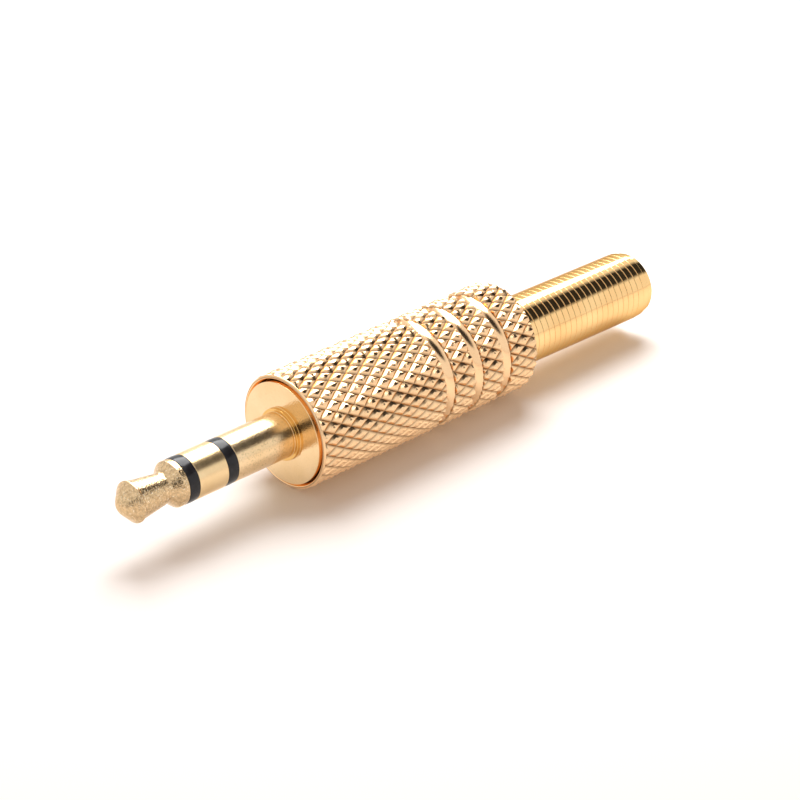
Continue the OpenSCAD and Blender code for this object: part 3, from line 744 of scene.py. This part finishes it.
studio = {
    "tent": ((0.0, 1.0), (0.46, 1.0), (0.55, 0.03), (0.81, 0.03), (0.88, 1.0), (1.0, 1.0)),  # by height
    "gapEnd": (-0.02, 0.14), "gapStart": (0.3, 0.48),
    "openingSide": (-0.66, -0.68, 0.32), "openingEdge": (0.925, 0.97), "openingLevel": 0.03,
    "fill": (0.545, 0.425, 0.35), "lampPlace": (0.08, 0.08, 0.142), "lampTarget": (0.008, 0, 0),
    "lampSize": (0.15, 0.15), "lampPower": 0.49,
}
stage = {
    "floorSize": 3.0, "floorLow": cadBox[0][2], "paper": ((0.50,) * 3, (0.54,) * 3), "paperScale": 60,
    "paperRoughness": 0.7, "paperShine": 0.2, "glowColour": (1.0, 0.96, 0.91), "glow": 0.43,
    "seenColour": (0.95,) * 3, "whiteFrom": (0.06, 0.12), "cameraPlace": (-0.1072995, -0.1230751, 0.0909850),
    "cameraTurn": (61.6055, 0, -44.1365), "lens": 117.0, "sensor": 36, "clip": (0.01, 10),
}


def makeFloor():
    bpy.ops.object.select_all(action="DESELECT")
    bpy.ops.mesh.primitive_plane_add(size=stage["floorSize"], location=(0, 0, stage["floorLow"]))
    floor = bpy.context.object
    floor.name = "whiteFloor"
    finish, nodeSet, links, shader = newFinish("whitePaper", stage["paper"][0], 0.0, stage["paperRoughness"])
    coordinates = addNode(nodeSet, "ShaderNodeTexCoord").outputs["Object"]
    cloud = addNoise(nodeSet, links, coordinates, stage["paperScale"], detail=2)
    paper = addMix(nodeSet, links, addRange(nodeSet, links, cloud, 0, 1), *stage["paper"])
    links.new(paper, shader.inputs["Base Color"])
    shader.inputs["Specular IOR Level"].default_value = stage["paperShine"]
    # to all but the camera it is a grey paper that glows a little
    shader.inputs["Emission Color"].default_value = (*stage["glowColour"], 1)
    shader.inputs["Emission Strength"].default_value = stage["glow"]
    # the camera sees it white, and plain white out of the lamp's reach
    seen = addNode(nodeSet, "ShaderNodeBsdfDiffuse")
    seen.inputs["Color"].default_value = (*stage["seenColour"], 1)
    white = addNode(nodeSet, "ShaderNodeEmission")
    away = addNode(nodeSet, "ShaderNodeVectorMath", operation="LENGTH")
    links.new(coordinates, away.inputs[0])
    far = addRange(nodeSet, links, away.outputs["Value"], 0, 1, *stage["whiteFrom"])
    shown = mixShaders(nodeSet, links, far, seen.outputs[0], white.outputs[0])
    path = addNode(nodeSet, "ShaderNodeLightPath").outputs
    surface = mixShaders(nodeSet, links, path["Is Camera Ray"], shader.outputs[0], shown)
    links.new(surface, nodeSet["Material Output"].inputs["Surface"])
    floor.data.materials.append(finish)


def makeWorld():
    # a light tent for what is reflected, with a dark gap high on the right and a dark opening towards the
    # front, white for the camera, and a plain warm fill for everything else
    world = bpy.data.worlds.new("studio")
    bpy.context.scene.world = world
    world.use_nodes = True
    nodeSet, links = world.node_tree.nodes, world.node_tree.links
    nodeSet.clear()
    direction = addNode(nodeSet, "ShaderNodeTexCoord").outputs["Generated"]
    split = addNode(nodeSet, "ShaderNodeSeparateXYZ")
    links.new(direction, split.inputs[0])
    x, y, z = split.outputs
    ramp = addNode(nodeSet, "ShaderNodeValToRGB")
    stops = ramp.color_ramp.elements
    while len(stops) < len(studio["tent"]):
        stops.new(0.5)
    for stop, (place, level) in zip(stops, studio["tent"]):
        stop.position = place
        stop.color = (level, level, level, 1)
    links.new(z, ramp.inputs[0])
    behind = addRange(nodeSet, links, y, 0, 1, *studio["gapEnd"])
    left = addRange(nodeSet, links, x, 1, 0, *studio["gapStart"])
    side = addMath(nodeSet, links, "MAXIMUM", behind, left)
    light = addMix(nodeSet, links, side, ramp.outputs[0], (1.0, 1.0, 1.0))
    facing = addNode(nodeSet, "ShaderNodeVectorMath", operation="DOT_PRODUCT")
    links.new(direction, facing.inputs[0])
    facing.inputs[1].default_value = studio["openingSide"]
    opening = addRange(nodeSet, links, facing.outputs["Value"], 0, 1, *studio["openingEdge"])
    light = addMix(nodeSet, links, opening, light, (studio["openingLevel"],) * 3)
    mirrored = addNode(nodeSet, "ShaderNodeBackground")
    links.new(light, mirrored.inputs["Color"])
    fill = addNode(nodeSet, "ShaderNodeBackground")
    fill.inputs["Color"].default_value = (*studio["fill"], 1)
    backdrop = addNode(nodeSet, "ShaderNodeBackground")
    backdrop.inputs["Color"].default_value = (1, 1, 1, 1)
    path = addNode(nodeSet, "ShaderNodeLightPath").outputs
    shown = mixShaders(nodeSet, links, path["Is Glossy Ray"], fill.outputs[0], mirrored.outputs[0])
    shown = mixShaders(nodeSet, links, path["Is Camera Ray"], shown, backdrop.outputs[0])
    output = addNode(nodeSet, "ShaderNodeOutputWorld")
    links.new(shown, output.inputs["Surface"])


def makeLamp():
    bpy.ops.object.light_add(type="AREA", location=studio["lampPlace"])
    lamp = bpy.context.object
    lamp.name = "topSoftbox"
    lamp.data.shape = "RECTANGLE"
    lamp.data.size, lamp.data.size_y = studio["lampSize"]
    lamp.data.energy = studio["lampPower"]
    aim = Vector(studio["lampTarget"]) - Vector(studio["lampPlace"])
    lamp.rotation_euler = aim.to_track_quat("-Z", "Y").to_euler()


def makeCamera():
    bpy.ops.object.camera_add(location=stage["cameraPlace"],
                              rotation=[math.radians(a) for a in stage["cameraTurn"]])
    camera = bpy.context.object
    camera.data.lens = stage["lens"]
    camera.data.sensor_width = stage["sensor"]
    camera.data.clip_start, camera.data.clip_end = stage["clip"]
    bpy.context.scene.camera = camera


makeFloor()
makeWorld()
makeLamp()
makeCamera()
bpy.context.scene.view_settings.view_transform = "Standard"
print("stage made")
